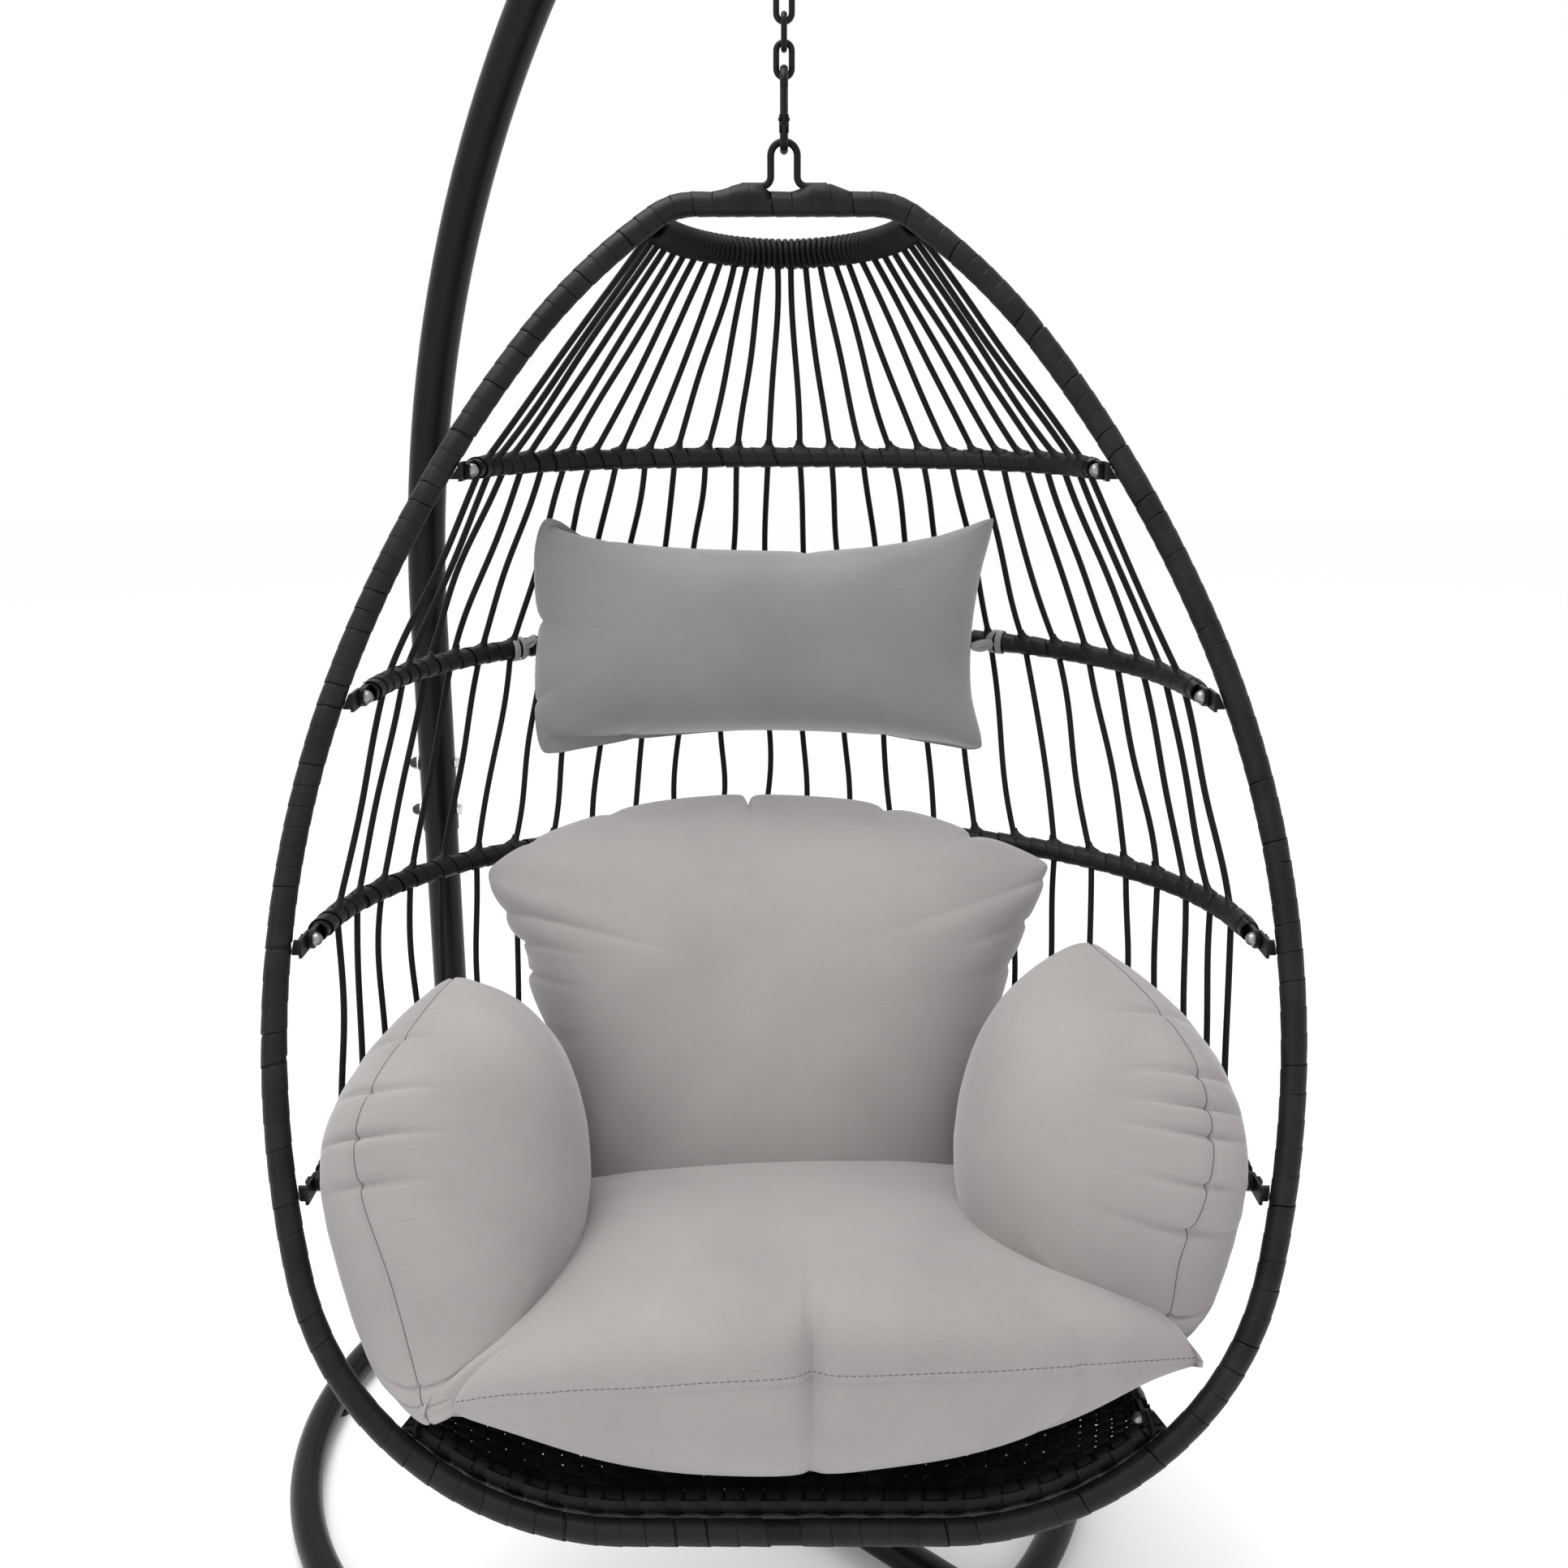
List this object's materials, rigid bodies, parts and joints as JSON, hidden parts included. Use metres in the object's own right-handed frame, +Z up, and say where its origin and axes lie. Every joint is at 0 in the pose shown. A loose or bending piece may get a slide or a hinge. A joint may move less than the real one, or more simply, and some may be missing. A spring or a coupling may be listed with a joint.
{
  "type": "hanging egg chair",
  "caption": "Hanging garden chair: a folding egg-shaped corded basket with cushions, on a chain and snap hook, under a C-shaped floor stand.",
  "frame": {"origin": "on the floor, under the middle of the bounding box", "axes": "+Z up, -Y the way a seated person faces, +X that person's left; the pole stands at the back on the -X side"},
  "size_m": [1.1072, 1.0666, 1.9766],
  "materials": {
    "stand_black_paint": "satin",
    "frame_black_paint": "satin",
    "chain_black": "gloss",
    "bolt_steel": "satin",
    "cap_nut_black": "gloss",
    "end_cap_plastic": "satin",
    "foot_rubber": "matte",
    "rattan": "satin",
    "cord": "satin",
    "pivot_nickel": "polished",
    "cushion_fabric": "matte",
    "pillow_fabric": "matte"
  },
  "bodies": {
    "stand": {"arm_upper": "stand_black_paint", "pole_lower": "stand_black_paint", "pole_bolts": "bolt_steel", "pole_washers": "bolt_steel", "pole_cap_nuts": "cap_nut_black", "arm_end_cap": "end_cap_plastic", "arm_eye": "chain_black", "arm_eye_nut": "bolt_steel", "base_ring_left": "stand_black_paint", "base_ring_right": "stand_black_paint", "base_crossbar": "stand_black_paint", "base_joint_sleeve": "stand_black_paint", "base_socket": "stand_black_paint", "base_gusset": "stand_black_paint", "base_feet": "foot_rubber"},
    "top_link": {"chain_top_link": "chain_black"},
    "chain_upper": {"chain_upper_links": "chain_black"},
    "chain_lower": {"chain_lower_links": "chain_black"},
    "snap_hook": {"hook_body": "chain_black", "hook_gate_pin": "chain_black"},
    "gate": {"hook_gate": "chain_black"},
    "basket": {"rim_tube": "frame_black_paint", "rim_wrap_top": "rattan", "rim_wrap_upper_left": "rattan", "rim_wrap_upper_right": "rattan", "rim_wrap_lower_left": "rattan", "rim_wrap_lower_right": "rattan", "pivot_tabs": "frame_black_paint", "pivot_bolts": "pivot_nickel", "pivot_nuts": "frame_black_paint", "rear_arc_tube": "frame_black_paint", "rear_arc_winding": "cord", "hanging_loop": "frame_black_paint", "cords_arc_to_bar_1": "cord", "cords_bar_1_to_bar_2": "cord", "cords_bar_2_to_bar_3": "cord", "cords_bar_3_to_bar_4": "cord", "cords_bar_4_to_seat": "cord", "seat_cushion": "cushion_fabric", "back_cushion": "cushion_fabric", "arm_cushion_left": "cushion_fabric", "arm_cushion_right": "cushion_fabric", "head_pillow": "pillow_fabric"},
    "bar_1": {"bar_1_tube": "frame_black_paint", "bar_1_wrap": "rattan"},
    "bar_2": {"bar_2_tube": "frame_black_paint", "bar_2_wrap": "rattan"},
    "bar_3": {"bar_3_tube": "frame_black_paint", "bar_3_wrap": "rattan"},
    "bar_4": {"bar_4_tube": "frame_black_paint", "bar_4_wrap": "rattan"},
    "seat": {"seat_front_rail": "frame_black_paint", "seat_back_rail": "frame_black_paint", "seat_weave": "rattan"}
  },
  "joints": [
    {"name": "swing_sideways", "type": "hinge", "parent": "stand", "child": "top_link", "pos_m": [0.0641, -0.07448, 1.8874], "axis": [0, 1, 0], "range_deg": [-6, 6]},
    {"name": "swing_front_back", "type": "hinge", "parent": "top_link", "child": "chain_upper", "pos_m": [0.0641, -0.07448, 1.8637], "axis": [1, 0, 0], "range_deg": [-8, 8]},
    {"name": "chain_twist", "type": "hinge", "parent": "chain_upper", "child": "chain_lower", "pos_m": [0.0641, -0.07448, 1.74], "axis": [0, 0, 1], "range_deg": [-12, 12]},
    {"name": "hook_twist", "type": "hinge", "parent": "chain_lower", "child": "snap_hook", "pos_m": [0.0641, -0.07448, 1.62], "axis": [0, 0, 1], "range_deg": [-12, 12]},
    {"name": "gate_open", "type": "hinge", "parent": "snap_hook", "child": "gate", "pos_m": [0.0641, -0.09048, 1.5767], "axis": [-1, 0, 0], "range_deg": [0, 25], "stiffness_Nm_per_rad": 0.05, "springref_deg": -17.19},
    {"name": "basket_tilt", "type": "hinge", "parent": "snap_hook", "child": "basket", "pos_m": [0.0641, -0.07448, 1.5585], "axis": [1, 0, 0], "range_deg": [-8, 5]},
    {"name": "bar_1_fold", "type": "hinge", "parent": "basket", "child": "bar_1", "pos_m": [0.0641, -0.14268, 1.2477], "axis": [1, 0, 0], "range_deg": [0, 58], "deforming": ["cords_arc_to_bar_1", "cords_bar_1_to_bar_2", "cords_bar_2_to_bar_3", "cords_bar_3_to_bar_4", "cords_bar_4_to_seat", "seat_cushion", "back_cushion", "arm_cushion_left", "arm_cushion_right", "head_pillow"]},
    {"name": "bar_2_fold", "type": "hinge", "parent": "basket", "child": "bar_2", "pos_m": [0.0641, -0.22298, 1.0364], "axis": [1, 0, 0], "range_deg": [0, 58]},
    {"name": "bar_3_fold", "type": "hinge", "parent": "basket", "child": "bar_3", "pos_m": [0.0641, -0.30608, 0.8176], "axis": [1, 0, 0], "range_deg": [0, 58]},
    {"name": "bar_4_fold", "type": "hinge", "parent": "basket", "child": "bar_4", "pos_m": [0.0641, -0.38668, 0.6054], "axis": [1, 0, 0], "range_deg": [0, 58]},
    {"name": "seat_fold", "type": "hinge", "parent": "basket", "child": "seat", "pos_m": [0.0641, -0.46338, 0.4035], "axis": [1, 0, 0], "range_deg": [0, 58]}
  ],
  "couplings": [
    {"joint": "hook_twist", "follows": "chain_twist", "ratio": 1},
    {"joint": "bar_2_fold", "follows": "bar_1_fold", "ratio": 1},
    {"joint": "bar_3_fold", "follows": "bar_1_fold", "ratio": 1},
    {"joint": "bar_4_fold", "follows": "bar_1_fold", "ratio": 1},
    {"joint": "seat_fold", "follows": "bar_1_fold", "ratio": 1}
  ]
}
